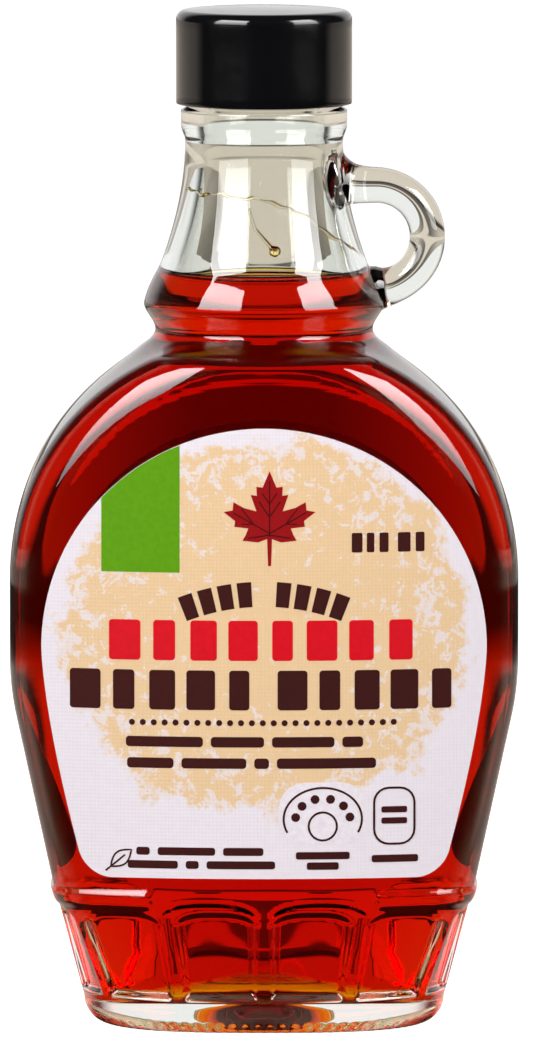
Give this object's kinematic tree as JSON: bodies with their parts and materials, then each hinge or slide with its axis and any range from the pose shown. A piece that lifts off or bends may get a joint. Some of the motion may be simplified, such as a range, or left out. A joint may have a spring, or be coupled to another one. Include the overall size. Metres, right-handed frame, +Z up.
{
  "type": "maple syrup bottle",
  "caption": "Clear glass flask of dark syrup with a round flat-sided body, fluted foot, finger ring on the neck, black screw cap and arched paper labels.",
  "frame": {"origin": "middle of the ring that the bottle stands on, on the surface it stands on", "axes": "+Z up along the neck, -Y out of the front label, +X towards the finger ring"},
  "size_m": [0.0834, 0.048, 0.167],
  "materials": {
    "clear_glass": "fire-polished clear flint glass",
    "syrup": "clear dark red-amber liquid",
    "black_cap": "glossy black",
    "label_paper": "uncoated white paper with a printed front"
  },
  "bodies": {
    "root": {"glass_bottle": "clear_glass", "syrup": "syrup", "cap": "black_cap", "front_label": "label_paper", "back_label": "label_paper"}
  },
  "joints": []
}
